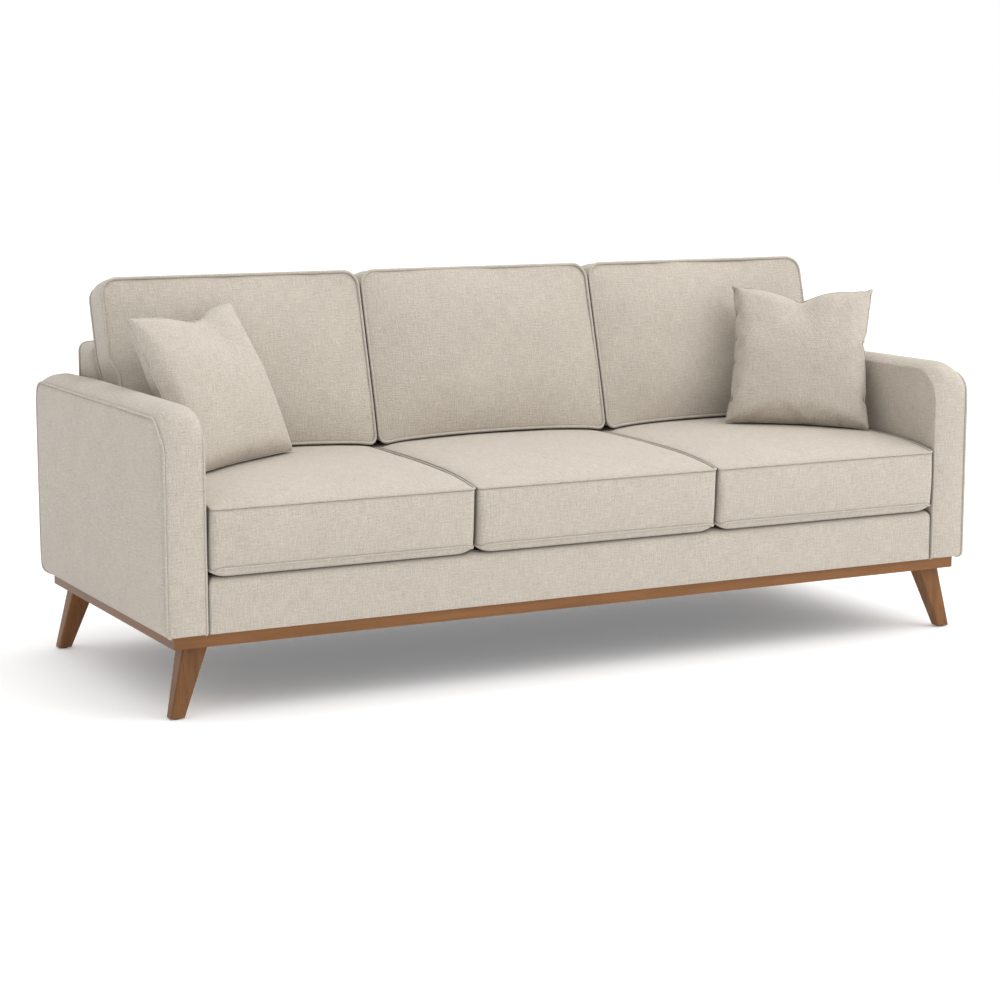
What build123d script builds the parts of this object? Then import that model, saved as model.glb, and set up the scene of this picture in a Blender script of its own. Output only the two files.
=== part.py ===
"""A three-seat sofa on a wooden plinth with four splayed legs, built piece by piece.

Frame: +X to the right of someone facing the sofa, front towards -Y, +Z up, origin on the floor
under the middle of the sofa. Every length is in millimetres.
"""
import os

from build123d import *

# ---------------------------------------------------------------- driving dimensions
clearance = 0.3            # gap left between pieces that touch in the real sofa
cover_thickness = 1.4      # upholstery fabric with its backing

# plinth and legs
plinth_half_width = 1003
plinth_front_y = -406
plinth_back_y = 411
plinth_bottom_z = 151
plinth_top_z = 177.6
plinth_board_width = 30
leg_block_size = (122, 75)
leg_top_x = 948
leg_top_front_y = -363
leg_top_back_y = 368
leg_foot_x = 993
leg_foot_front_y = -380
leg_foot_back_y = 385
leg_top_size = (56, 45)
leg_foot_size = (32, 28)
leg_edge_radius = 4
leg_bolt_hole_share = 0.65     # how much of the bolt is inside the leg
glide_radius = 9
glide_height = 3
bolt_radius = 4
bolt_length = 70
bolt_inset_y = 6
bolt_hole_clearance = 0.15
bolt_head_recess = 2
tee_nut_flange_radius = 11
tee_nut_flange_height = 1.5
tee_nut_barrel_radius = 5.2
tee_nut_barrel_height = 14
tee_nut_recess = 2

# seat frame
seat_half_width = 928
frame_bottom_z = 180
rail_top_z = 274
rail_thickness = 25
front_rail_y = -398
rear_rail_y = 262
cross_rail_x = 310
cross_rail_height = 58
corner_block_leg = 60
corner_block_height = 60
corner_block_lift = 10
cross_rail_lift = 2
spring_count = 13
spring_spacing = 140
spring_wire_radius = 1.8
spring_half_width = 22
spring_turns = 17
spring_z = 278.6
clip_size = (17, 12, 8)
clip_wall = 1.5
clip_slot_gap = 0.3
deck_pad_z = 283.5
deck_pad_height = 8
deck_back_y = 288
dust_cover_z = 178.3
dust_cover_height = 0.9
dust_cover_margins = (8, 4, 20)     # in from the frame at the sides, front and rear
apron_front_y = -415
apron_back_y = -371
apron_top_z = 299.6
apron_edge_radius = 21

# arms
arm_inner_x = 930
arm_outer_x = 1031
arm_front_y = -415
arm_back_y = 431
arm_bottom_z = 178.3
arm_top_z = 652
arm_front_radius = 78
arm_back_radius = 34
arm_edge_radius = 16
arm_cavity_inset = 22
arm_cavity_x = (950, 1004)
arm_post_width = 45
arm_post_setback = 8             # behind the padding's inner skin
arm_rail_overlap = (12, 20)      # how far the top rail reaches over the posts
arm_post_x = (957, 997)
arm_post_top_z = 585
arm_panel_thickness = 3
arm_rail_height = 25

# back
back_half_width = 927
back_rear_y = 421
back_heel_y = 292
back_shelf_z = 297
back_shelf_y = 247
back_knee = (256, 475)
back_top_front_y = 323.5
back_top_z = 718
back_top_radius = 26
back_padding_depth = 16
upright_thickness = 22
upright_spacing = 600
upright_count = 4
upright_rear_y = 403
upright_foot_y = 312
upright_front_y = 283
upright_knee_z = (322, 332, 478)
upright_top = (333.4, 655)
back_top_rail_y = (348, 401)
back_top_rail_z = (655.5, 693)
back_top_rail_half_length = 915
back_lower_rail_centre = (294, 352)
back_lower_rail_section = (20, 38)
webbing_width = 50
webbing_spacing = 150
webbing_count = 12
webbing_thickness = 2.5
webbing_back_y = 282
webbing_bottom_z = 338
webbing_knee_z = 478.5
webbing_top = (346.5, 687)

# loose cushions
cushion_pitch = 620
cushion_width = 618.5
seat_front_y = -423
seat_front_bulge_y = -431
seat_back_y = 243
seat_bottom_z = 301
seat_seam_z = 444
seat_crown = (-90, 486)
seat_back_z = 466
seat_edge_radius = 9
back_cushion_bottom_z = 487.5
back_cushion_bottom_y = (85, 212)
back_cushion_front_top = (194, 882)
back_cushion_rear_top = (320, 856)
back_cushion_front_crown = (107, 688)
back_cushion_rear_crown = (300, 668)
back_cushion_corner_radius = 32
back_cushion_edge_radius = 7
scatter_half_thickness = 62
scatter_hem = 4
left_scatter_size = 362
left_scatter_centre = (-769, -32, 653)
left_scatter_turn = (-27.5, -2.3, 30.4)
right_scatter_size = 352
right_scatter_centre = (779, -65, 655)
right_scatter_turn = (-25.4, 1.5, -34.2)

pieces = {}


# ---------------------------------------------------------------- wooden plinth
def plinth_frame_board(start, end, inward):
    """One plinth board between two outer corners, mitred at 45 degrees at both ends."""
    along = (Vector(*end) - Vector(*start)).normalized()
    inward = Vector(*inward)
    inner_end = Vector(*end) + (inward - along) * plinth_board_width
    inner_start = Vector(*start) + (inward + along) * plinth_board_width
    with BuildPart() as board:
        with BuildSketch(Plane.XY.offset(plinth_bottom_z)):
            Polygon(start, end, tuple(inner_end)[:2], tuple(inner_start)[:2], align=None)
        extrude(amount=plinth_top_z - plinth_bottom_z)
    return board


mitre_gap = clearance / 2
front_left = (-plinth_half_width, plinth_front_y)
front_right = (plinth_half_width, plinth_front_y)
back_left = (-plinth_half_width, plinth_back_y)
back_right = (plinth_half_width, plinth_back_y)

pieces["plinth_front_board"] = plinth_frame_board(front_left, front_right, (0, 1))
pieces["plinth_rear_board"] = plinth_frame_board(back_left, back_right, (0, -1))
pieces["plinth_left_board"] = plinth_frame_board(
    (-plinth_half_width, plinth_front_y + mitre_gap), (-plinth_half_width, plinth_back_y - mitre_gap), (1, 0)
)
pieces["plinth_right_board"] = plinth_frame_board(
    (plinth_half_width, plinth_front_y + mitre_gap), (plinth_half_width, plinth_back_y - mitre_gap), (-1, 0)
)

# ---------------------------------------------------------------- legs and what holds them
leg_corners = {
    "front_left_leg": (-1, leg_top_front_y, leg_foot_front_y),
    "front_right_leg": (1, leg_top_front_y, leg_foot_front_y),
    "rear_left_leg": (-1, leg_top_back_y, leg_foot_back_y),
    "rear_right_leg": (1, leg_top_back_y, leg_foot_back_y),
}
leg_top_z = plinth_bottom_z - clearance
bolt_top_z = plinth_top_z - bolt_head_recess
bolt_points = [
    (side * leg_top_x, top_y + (bolt_inset_y if top_y < 0 else -bolt_inset_y))
    for side, top_y, foot_y in leg_corners.values()
]

for leg_name, (side, top_y, foot_y) in leg_corners.items():
    with BuildPart() as leg:
        with BuildSketch(Plane.XY.offset(glide_height)):
            with Locations((side * leg_foot_x, foot_y)):
                Rectangle(*leg_foot_size)
        with BuildSketch(Plane.XY.offset(leg_top_z)):
            with Locations((side * leg_top_x, top_y)):
                Rectangle(*leg_top_size)
        loft()
        long_edges = leg.edges().filter_by(lambda edge: edge.length > leg_top_z / 2)
        fillet(long_edges, leg_edge_radius)
        bolt_y = top_y + (bolt_inset_y if top_y < 0 else -bolt_inset_y)
        with Locations((side * leg_top_x, bolt_y, leg_top_z)):
            Hole(bolt_radius + bolt_hole_clearance, depth=bolt_length * leg_bolt_hole_share)
    pieces[leg_name] = leg

with BuildPart() as leg_glides:
    for side, top_y, foot_y in leg_corners.values():
        with Locations((side * leg_foot_x, foot_y)):
            Cylinder(glide_radius, glide_height - 0.05, align=(Align.CENTER, Align.CENTER, Align.MIN))
pieces["leg_glides"] = leg_glides

with BuildPart() as leg_blocks:
    block_width, block_depth = leg_block_size
    block_height = plinth_top_z - plinth_bottom_z - clearance
    block_x = plinth_half_width - plinth_board_width - block_width / 2 - clearance
    front_block_y = plinth_front_y + plinth_board_width + block_depth / 2 + clearance
    back_block_y = plinth_back_y - plinth_board_width - block_depth / 2 - clearance
    for side in (-1, 1):
        for block_y in (front_block_y, back_block_y):
            with Locations((side * block_x, block_y, plinth_bottom_z)):
                Box(block_width, block_depth, block_height, align=(Align.CENTER, Align.CENTER, Align.MIN))
    for bolt_x, bolt_y in bolt_points:
        with Locations((bolt_x, bolt_y, plinth_bottom_z + block_height)):
            CounterBoreHole(
                radius=tee_nut_barrel_radius + 0.2,
                counter_bore_radius=tee_nut_flange_radius + 0.5,
                counter_bore_depth=tee_nut_recess,
                depth=block_height,
            )
pieces["leg_blocks"] = leg_blocks

with BuildPart() as leg_tee_nuts:
    flange_z = plinth_bottom_z + block_height - tee_nut_recess + 0.05
    for bolt_x, bolt_y in bolt_points:
        with Locations((bolt_x, bolt_y, flange_z)):
            Cylinder(
                tee_nut_flange_radius, tee_nut_flange_height, align=(Align.CENTER, Align.CENTER, Align.MIN)
            )
        with Locations((bolt_x, bolt_y, flange_z)):
            Cylinder(
                tee_nut_barrel_radius, tee_nut_barrel_height, align=(Align.CENTER, Align.CENTER, Align.MAX)
            )
        with Locations((bolt_x, bolt_y, flange_z + tee_nut_flange_height)):
            Hole(bolt_radius + bolt_hole_clearance, depth=tee_nut_barrel_height + tee_nut_flange_height)
pieces["leg_tee_nuts"] = leg_tee_nuts

with BuildPart() as leg_bolts:
    for bolt_x, bolt_y in bolt_points:
        with Locations((bolt_x, bolt_y, bolt_top_z)):
            Cylinder(bolt_radius, bolt_length, align=(Align.CENTER, Align.CENTER, Align.MAX))
pieces["leg_bolts"] = leg_bolts


# ---------------------------------------------------------------- seat frame
def timber(x_range, y_range, z_range):
    """A plain sawn rail given by its limits along X, Y and Z."""
    lengths = [high - low for low, high in (x_range, y_range, z_range)]
    middle = [(high + low) / 2 for low, high in (x_range, y_range, z_range)]
    with BuildPart() as rail:
        with Locations(tuple(middle)):
            Box(*lengths)
    return rail


front_rail_back_y = front_rail_y + rail_thickness
rear_rail_back_y = rear_rail_y + rail_thickness
rail_z = (frame_bottom_z, rail_top_z)
side_rail_y = (front_rail_back_y + clearance, rear_rail_y - clearance)
side_rail_inner_x = seat_half_width - rail_thickness
full_width = (-seat_half_width, seat_half_width)

pieces["seat_front_rail"] = timber(full_width, (front_rail_y, front_rail_back_y), rail_z)
pieces["seat_rear_rail"] = timber(full_width, (rear_rail_y, rear_rail_back_y), rail_z)
pieces["seat_left_rail"] = timber((-seat_half_width, -side_rail_inner_x), side_rail_y, rail_z)
pieces["seat_right_rail"] = timber((side_rail_inner_x, seat_half_width), side_rail_y, rail_z)

with BuildPart() as seat_cross_rails:
    cross_length = side_rail_y[1] - side_rail_y[0]
    cross_y = (side_rail_y[1] + side_rail_y[0]) / 2
    with Locations(*[(x, cross_y, frame_bottom_z + cross_rail_lift) for x in (-cross_rail_x, cross_rail_x)]):
        Box(rail_thickness, cross_length, cross_rail_height, align=(Align.CENTER, Align.CENTER, Align.MIN))
pieces["seat_cross_rails"] = seat_cross_rails

with BuildPart() as seat_corner_blocks:
    with BuildSketch(Plane.XY.offset(frame_bottom_z + corner_block_lift)):
        for side in (-1, 1):
            for corner_y, inward in ((side_rail_y[0], 1), (side_rail_y[1], -1)):
                corner_x = side * (side_rail_inner_x - clearance)
                Polygon(
                    (corner_x, corner_y),
                    (corner_x - side * corner_block_leg, corner_y),
                    (corner_x, corner_y + inward * corner_block_leg),
                    align=None,
                )
    extrude(amount=corner_block_height)
pieces["seat_corner_blocks"] = seat_corner_blocks

# ---------------------------------------------------------------- springs, deck and dust cover
spring_start_y = front_rail_back_y - clip_size[1] / 2
spring_end_y = rear_rail_y + clip_size[1] / 2
spring_pitch = (spring_end_y - spring_start_y) / (spring_turns + 1)
spring_xs = [(index - (spring_count - 1) / 2) * spring_spacing for index in range(spring_count)]

with BuildPart() as one_spring:
    with BuildLine(Plane.XY.offset(spring_z)) as spring_path:
        bends = [(0, spring_start_y)]
        for turn in range(1, spring_turns + 1):
            reach = spring_half_width if turn % 2 else -spring_half_width
            bends.append((reach, spring_start_y + turn * spring_pitch))
        bends.append((0, spring_end_y))
        FilletPolyline(*bends, radius=spring_pitch * 0.3)
    with BuildSketch(Plane(origin=spring_path.line @ 0, z_dir=spring_path.line % 0)):
        Circle(spring_wire_radius)
    sweep()

with BuildPart() as seat_springs:
    with Locations(*[(x, 0) for x in spring_xs]):
        add(one_spring.part)
pieces["seat_springs"] = seat_springs

with BuildPart() as spring_clips:
    clip_ys = (spring_start_y, spring_end_y)
    with Locations(*[(x, y, rail_top_z + 0.1) for x in spring_xs for y in clip_ys]):
        Box(*clip_size, align=(Align.CENTER, Align.CENTER, Align.MIN))
    with Locations(*[(x, y, spring_z) for x in spring_xs for y in clip_ys]):
        Box(
            clip_size[0] - 2 * clip_wall,
            clip_size[1] + 1,
            2 * (spring_wire_radius + clip_slot_gap),
            mode=Mode.SUBTRACT,
        )
pieces["spring_clips"] = spring_clips

deck_front_y = apron_back_y + 1
pieces["deck_pad"] = timber(
    full_width, (deck_front_y, deck_back_y), (deck_pad_z, deck_pad_z + deck_pad_height)
)
pieces["deck_cover"] = timber(
    full_width,
    (deck_front_y, deck_back_y),
    (deck_pad_z + deck_pad_height + clearance, deck_pad_z + deck_pad_height + clearance + cover_thickness),
)
side_margin, front_margin, rear_margin = dust_cover_margins
pieces["dust_cover"] = timber(
    (-seat_half_width + side_margin, seat_half_width - side_margin),
    (front_rail_y + front_margin, back_rear_y - rear_margin),
    (dust_cover_z, dust_cover_z + dust_cover_height),
)


# ---------------------------------------------------------------- apron below the seat cushions
def apron_block(inset, bottom_z):
    """The soft front edge of the seat as a full block, `inset` behind the fabric's face."""
    with BuildPart() as block:
        with BuildSketch(Plane.YZ.offset(-seat_half_width)) as side:
            with Locations((apron_front_y + inset, bottom_z)):
                Rectangle(
                    apron_back_y - apron_front_y - inset,
                    apron_top_z - inset - bottom_z,
                    align=(Align.MIN, Align.MIN),
                )
            front_top = side.vertices().group_by(Axis.Y)[-1].sort_by(Axis.X)[0]
            fillet(front_top, apron_edge_radius - inset)
        extrude(amount=2 * seat_half_width)
    return block.part


with BuildPart() as apron_cover:
    add(apron_block(0, arm_bottom_z))
    add(apron_block(cover_thickness, arm_bottom_z - 1), mode=Mode.SUBTRACT)
pieces["apron_cover"] = apron_cover

with BuildPart() as apron_padding:
    add(apron_block(cover_thickness + clearance, frame_bottom_z))
    with Locations((0, front_rail_y - clearance, frame_bottom_z - 1)):
        Box(
            2 * seat_half_width + 2,
            apron_back_y - front_rail_y + 2,
            rail_top_z + clip_size[2] + 2 - frame_bottom_z,
            align=(Align.CENTER, Align.MIN, Align.MIN),
            mode=Mode.SUBTRACT,
        )
pieces["apron_padding"] = apron_padding


# ---------------------------------------------------------------- arms (left one mirrored)
def arm_block(inset, bottom_z, inner_x=None, outer_x=None):
    """A right arm as a full block, `inset` inside the fabric's face all round but the bottom."""
    inner_x = arm_inner_x + inset if inner_x is None else inner_x
    outer_x = arm_outer_x - inset if outer_x is None else outer_x
    with BuildPart() as block:
        with BuildSketch(Plane.YZ.offset(inner_x)) as side:
            with Locations((arm_front_y + inset, bottom_z)):
                Rectangle(
                    arm_back_y - arm_front_y - 2 * inset,
                    arm_top_z - inset - bottom_z,
                    align=(Align.MIN, Align.MIN),
                )
            top_corners = side.vertices().group_by(Axis.Y)[-1].sort_by(Axis.X)
            fillet(top_corners[0], arm_front_radius - inset)
            fillet(side.vertices().group_by(Axis.Y)[-1].sort_by(Axis.X)[-1], arm_back_radius - inset)
        extrude(amount=outer_x - inner_x)
    return block.part


def soft_arm_block(inset, bottom_z):
    """An arm block with its long edges rounded, as the fabric's outer or inner skin."""
    with BuildPart() as block:
        add(arm_block(inset, bottom_z))
        outer_edges = block.faces().sort_by(Axis.X)[-1].edges()
        upper_edges = [edge for edge in outer_edges if edge.center().Z > bottom_z + 1]
        fillet(upper_edges, arm_edge_radius - inset)
    return block.part


with BuildPart() as right_arm_cover:
    add(soft_arm_block(0, arm_bottom_z))
    add(soft_arm_block(cover_thickness, arm_bottom_z - 1), mode=Mode.SUBTRACT)

with BuildPart() as right_arm_padding:
    add(soft_arm_block(cover_thickness + clearance, frame_bottom_z))
    cavity = arm_block(arm_cavity_inset, frame_bottom_z - 1, *arm_cavity_x)
    add(cavity, mode=Mode.SUBTRACT)

post_front_y = arm_front_y + arm_cavity_inset + arm_post_setback
post_back_y = arm_back_y - arm_cavity_inset - arm_post_setback
post_z = (frame_bottom_z, arm_post_top_z)
right_arm_front_post = timber(arm_post_x, (post_front_y, post_front_y + arm_post_width), post_z)
right_arm_rear_post = timber(arm_post_x, (post_back_y - arm_post_width, post_back_y), post_z)
arm_rail_y = (
    post_front_y + arm_post_width - arm_rail_overlap[0],
    post_back_y - arm_post_width + arm_rail_overlap[1],
)
right_arm_top_rail = timber(
    arm_post_x,
    arm_rail_y,
    (arm_post_top_z + clearance, arm_post_top_z + clearance + arm_rail_height),
)

with BuildPart() as right_arm_panels:
    panel_gap = 0.2
    panel_xs = (
        arm_post_x[0] - panel_gap - arm_panel_thickness / 2,
        arm_post_x[1] + panel_gap + arm_panel_thickness / 2,
    )
    panel_height = arm_post_top_z - frame_bottom_z
    panel_z = (arm_post_top_z + frame_bottom_z) / 2
    with Locations(*[(x, (post_front_y + post_back_y) / 2, panel_z) for x in panel_xs]):
        Box(arm_panel_thickness, post_back_y - post_front_y, panel_height)

right_arm_pieces = {
    "arm_cover": right_arm_cover,
    "arm_padding": right_arm_padding,
    "arm_front_post": right_arm_front_post,
    "arm_rear_post": right_arm_rear_post,
    "arm_top_rail": right_arm_top_rail,
    "arm_panels": right_arm_panels,
}
for piece_name, right_piece in right_arm_pieces.items():
    with BuildPart() as left_piece:
        mirror(right_piece.part, about=Plane.YZ)
    pieces["right_" + piece_name] = right_piece
    pieces["left_" + piece_name] = left_piece


# ---------------------------------------------------------------- back frame, webbing and upholstery
def back_block(inset, bottom_z, half_width):
    """The sofa's back as a full block, `inset` inside the fabric's face all round but the bottom."""
    with BuildPart() as block:
        with BuildSketch(Plane.YZ.offset(-half_width)) as side:
            Polygon(
                (back_rear_y - inset, bottom_z),
                (back_heel_y + inset, bottom_z),
                (back_heel_y + inset, back_shelf_z + inset),
                (back_shelf_y + inset, back_shelf_z + inset),
                (back_knee[0] + inset, back_knee[1]),
                (back_top_front_y + inset, back_top_z - inset),
                (back_rear_y - inset, back_top_z - inset),
                align=None,
            )
            fillet(side.vertices().group_by(Axis.Y)[-1], back_top_radius - inset)
        extrude(amount=2 * half_width)
    return block.part


with BuildPart() as back_cover:
    cavity_half_width = back_half_width - cover_thickness
    add(back_block(0, frame_bottom_z - clearance, back_half_width))
    add(back_block(cover_thickness, frame_bottom_z - 1, cavity_half_width), mode=Mode.SUBTRACT)
pieces["back_cover"] = back_cover

with BuildPart() as back_padding:
    padding_inset = cover_thickness + clearance
    add(back_block(padding_inset, frame_bottom_z, back_half_width - padding_inset))
    cavity_inset = back_padding_depth
    add(back_block(cavity_inset, frame_bottom_z - 1, back_half_width - 10), mode=Mode.SUBTRACT)
pieces["back_padding"] = back_padding

upright_xs = [(index - (upright_count - 1) / 2) * upright_spacing for index in range(upright_count)]
step_low_z, step_high_z, knee_z = upright_knee_z
with BuildPart() as back_uprights:
    for upright_x in upright_xs:
        with BuildSketch(Plane.YZ.offset(upright_x - upright_thickness / 2)):
            Polygon(
                (upright_rear_y, frame_bottom_z + 2),
                (upright_foot_y, frame_bottom_z + 2),
                (upright_foot_y, step_low_z),
                (upright_front_y, step_high_z),
                (upright_front_y, knee_z),
                upright_top,
                (upright_rear_y, upright_top[1]),
                align=None,
            )
        extrude(amount=upright_thickness)
pieces["back_uprights"] = back_uprights

pieces["back_top_rail"] = timber(
    (-back_top_rail_half_length, back_top_rail_half_length), back_top_rail_y, back_top_rail_z
)

with BuildPart() as back_lower_rails:
    bay_length = upright_spacing - upright_thickness - 2 * clearance
    bay_xs = [(low + high) / 2 for low, high in zip(upright_xs, upright_xs[1:])]
    with Locations(*[(x, *back_lower_rail_centre) for x in bay_xs]):
        Box(bay_length, *back_lower_rail_section)
pieces["back_lower_rails"] = back_lower_rails

with BuildPart() as back_webbing:
    for index in range(webbing_count):
        webbing_x = (index - (webbing_count - 1) / 2) * webbing_spacing
        with BuildSketch(Plane.YZ.offset(webbing_x - webbing_width / 2)):
            Polygon(
                (webbing_back_y, webbing_bottom_z),
                (webbing_back_y - webbing_thickness, webbing_bottom_z),
                (webbing_back_y - webbing_thickness, webbing_knee_z),
                (webbing_top[0] - 2 * webbing_thickness, webbing_top[1]),
                webbing_top,
                (webbing_back_y, webbing_knee_z),
                align=None,
            )
        extrude(amount=webbing_width)
pieces["back_webbing"] = back_webbing


# ---------------------------------------------------------------- loose seat and back cushions
def seat_cushion_block(centre_x, inset):
    """A crowned seat cushion, `inset` inside the cover's face."""
    with BuildPart() as block:
        with BuildSketch(Plane.YZ.offset(centre_x - cushion_width / 2 + inset)):
            with BuildLine():
                bottom_front = (seat_front_y + 8 + inset, seat_bottom_z + inset)
                bottom_back = (seat_back_y - inset, seat_bottom_z + inset)
                top_back = (seat_back_y - inset, seat_back_z - inset)
                top_front = (seat_front_y + inset, seat_seam_z - inset)
                crown = (seat_crown[0], seat_crown[1] - inset)
                Line(bottom_front, bottom_back)
                Line(bottom_back, top_back)
                ThreePointArc(top_back, crown, top_front)
                middle_z = (seat_bottom_z + seat_seam_z) / 2
                ThreePointArc(top_front, (seat_front_bulge_y + inset, middle_z), bottom_front)
            make_face()
        extrude(amount=cushion_width - 2 * inset)
        fillet(block.edges(), seat_edge_radius - inset)
    return block.part


def back_cushion_block(centre_x, inset):
    """A leaning, crowned back cushion, `inset` inside the cover's face."""
    with BuildPart() as block:
        with BuildSketch(Plane.YZ.offset(centre_x - cushion_width / 2 + inset)):
            with BuildLine():
                bottom_z = back_cushion_bottom_z + inset
                bottom_front = (back_cushion_bottom_y[0] + inset, bottom_z)
                bottom_back = (back_cushion_bottom_y[1] - inset, bottom_z)
                top_back = (back_cushion_rear_top[0] - inset, back_cushion_rear_top[1] - inset)
                top_front = (back_cushion_front_top[0] + inset, back_cushion_front_top[1] - inset)
                rear_crown = (back_cushion_rear_crown[0] - inset, back_cushion_rear_crown[1])
                front_crown = (back_cushion_front_crown[0] + inset, back_cushion_front_crown[1])
                Line(bottom_front, bottom_back)
                ThreePointArc(bottom_back, rear_crown, top_back)
                Line(top_back, top_front)
                ThreePointArc(top_front, front_crown, bottom_front)
            make_face()
        extrude(amount=cushion_width - 2 * inset)
        corner_edges = block.edges().filter_by(
            lambda edge: edge.length < 150 and abs(edge.tangent_at(0.5).X) < 0.5
        )
        fillet(corner_edges, back_cushion_corner_radius - inset)
        fillet(block.edges(), back_cushion_edge_radius - inset)
    return block.part


cushion_sides = {"left": -1, "centre": 0, "right": 1}
core_inset = cover_thickness + clearance
cushion_kinds = (
    ("seat_cushion", seat_cushion_block, "core"),
    ("back_cushion", back_cushion_block, "filling"),
)
for side_name, side in cushion_sides.items():
    for kind, block_maker, inner_name in cushion_kinds:
        with BuildPart() as cushion_cover:
            add(block_maker(side * cushion_pitch, 0))
            add(block_maker(side * cushion_pitch, cover_thickness), mode=Mode.SUBTRACT)
        with BuildPart() as cushion_inner:
            add(block_maker(side * cushion_pitch, core_inset))
        pieces[f"{kind}_{side_name}_cover"] = cushion_cover
        pieces[f"{kind}_{side_name}_{inner_name}"] = cushion_inner


# ---------------------------------------------------------------- scatter cushions
def scatter_block(size, inset):
    """A knife-edged square cushion standing upright at the origin, facing -Y."""
    slices = ((0, 0, 10), (0.45, 34, 26), (0.8, 92, 34), (1, 170, 40))
    with BuildPart() as block:
        for direction in (-1, 1):
            for share, shrink, corner in slices:
                depth = scatter_hem / 2 + share * (scatter_half_thickness - scatter_hem / 2)
                plane = Plane.XZ.offset(direction * (depth - inset * share))
                with BuildSketch(plane):
                    side_length = size - shrink - 2 * inset
                    RectangleRounded(side_length, side_length, corner)
            loft()
        with BuildSketch(Plane.XZ.offset(-scatter_hem / 2)):
            RectangleRounded(size - 2 * inset, size - 2 * inset, 10)
        extrude(amount=scatter_hem)
    return block.part


scatter_cushions = {
    "left": (left_scatter_size, left_scatter_centre, left_scatter_turn),
    "right": (right_scatter_size, right_scatter_centre, right_scatter_turn),
}
for side_name, (size, centre, turn) in scatter_cushions.items():
    lean, roll, yaw = turn
    place = Location(centre) * Rotation(0, 0, yaw) * Rotation(lean, 0, 0) * Rotation(0, roll, 0)
    with BuildPart() as scatter_cover:
        with Locations(place):
            add(scatter_block(size, 0))
            add(scatter_block(size, cover_thickness), mode=Mode.SUBTRACT)
    with BuildPart() as scatter_filling:
        with Locations(place):
            add(scatter_block(size, core_inset))
    pieces[f"scatter_cushion_{side_name}_cover"] = scatter_cover
    pieces[f"scatter_cushion_{side_name}_filling"] = scatter_filling

# ---------------------------------------------------------------- files
os.makedirs("parts", exist_ok=True)
for piece_name, piece in pieces.items():
    piece.part.label = piece_name
    export_step(piece.part, f"parts/{piece_name}.step")
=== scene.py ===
"""How the sofa looks: soft covers with piping, stained wood, pale floor, studio light and camera.

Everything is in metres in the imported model's own frame: +X to the right, front towards -Y, +Z up.
"""

import math

import bpy
import numpy as np
from mathutils import Matrix, Vector, noise


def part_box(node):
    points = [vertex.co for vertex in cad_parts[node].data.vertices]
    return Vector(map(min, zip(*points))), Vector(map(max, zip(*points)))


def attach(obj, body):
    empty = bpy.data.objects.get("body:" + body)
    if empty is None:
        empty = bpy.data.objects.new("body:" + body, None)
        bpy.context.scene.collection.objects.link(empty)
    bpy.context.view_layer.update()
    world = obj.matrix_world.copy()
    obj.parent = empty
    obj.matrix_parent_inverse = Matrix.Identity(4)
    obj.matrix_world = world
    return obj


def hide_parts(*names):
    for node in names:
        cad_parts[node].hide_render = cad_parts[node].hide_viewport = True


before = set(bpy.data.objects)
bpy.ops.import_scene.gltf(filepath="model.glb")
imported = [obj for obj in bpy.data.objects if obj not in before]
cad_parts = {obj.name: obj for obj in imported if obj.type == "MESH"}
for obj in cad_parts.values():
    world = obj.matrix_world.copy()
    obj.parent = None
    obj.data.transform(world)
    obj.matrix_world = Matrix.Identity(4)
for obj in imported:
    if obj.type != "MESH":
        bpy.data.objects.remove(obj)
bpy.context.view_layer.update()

# ---------------------------------------------------------------- sizes read from the frame
arm_low, arm_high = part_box("right_arm_cover")
apron_low, apron_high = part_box("apron_cover")
back_low, back_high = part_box("back_cover")
deck_pad_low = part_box("deck_pad")[0]
deck_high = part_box("deck_cover")[1]
dust_low, dust_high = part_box("dust_cover")
seat_low, seat_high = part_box("seat_cushion_centre_cover")
cushion_low, cushion_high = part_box("back_cushion_centre_cover")

cushion_half_width = (seat_high.x - seat_low.x) / 2
cushion_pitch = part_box("seat_cushion_right_cover")[0].x - seat_low.x

# ---------------------------------------------------------------- sizes of the soft detail
# Welts and piping
welt_radius = 0.0026
piping_radius = 0.0040
arm_seam_radius = 0.0032
pillow_seam_radius = 0.0016

# Seat cushions: seams, gaps, corners and the crown of the top panel
seat_seam_z = 0.441
seat_lower_seam_z = 0.316
seat_front_seam_y = -0.423
seat_gap = 0.0024
seat_arm_gap = 0.0045
seat_waist = 0.0035
seat_lower_corner = 0.020
seat_corner_taper = 0.004
seat_ear_taper = 0.009
seat_front_bulge = 0.008
seat_side_rise = 0.026
seat_rise_length = 0.13
seat_shoulder = 0.009
seat_shoulder_length = 0.016
seat_crown = 0.012
seat_crown_length = 0.085
seat_edge_length = 0.03
seat_roll = 0.022
seat_side_roll = 0.044
seat_front_sag = 0.0055
seat_sag_place = 0.013
seat_sag_width = 0.008
seat_wave_depth = 0.0015
seat_crease_depth = 0.0004
seat_wave_fade = 0.006

# Back cushions: lean, boxing, crowns, and how they widen above the arms
back_foot_y = 0.085
back_lean = 0.275
back_boxing = 0.125
back_front_crown = 0.036
back_rear_crown = 0.030
back_top_drop = 0.026
back_top_gap = 0.004
back_gap = 0.0045
back_top_corner = 0.034
back_bottom_corner = 0.022
back_over_arm = 0.019
back_arm_height = 0.172
back_arm_blend = 0.05
back_rear_narrowing = 0.75
back_side_bulge = 0.003
back_top_bulge = 0.007
back_follow_height = 0.13
back_rest_gap = 0.0012
back_furthest_rest_y = 0.2
back_wave_depth = 0.0035
back_crease_depth = 0.0009
back_wave_fade = 0.02

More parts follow.
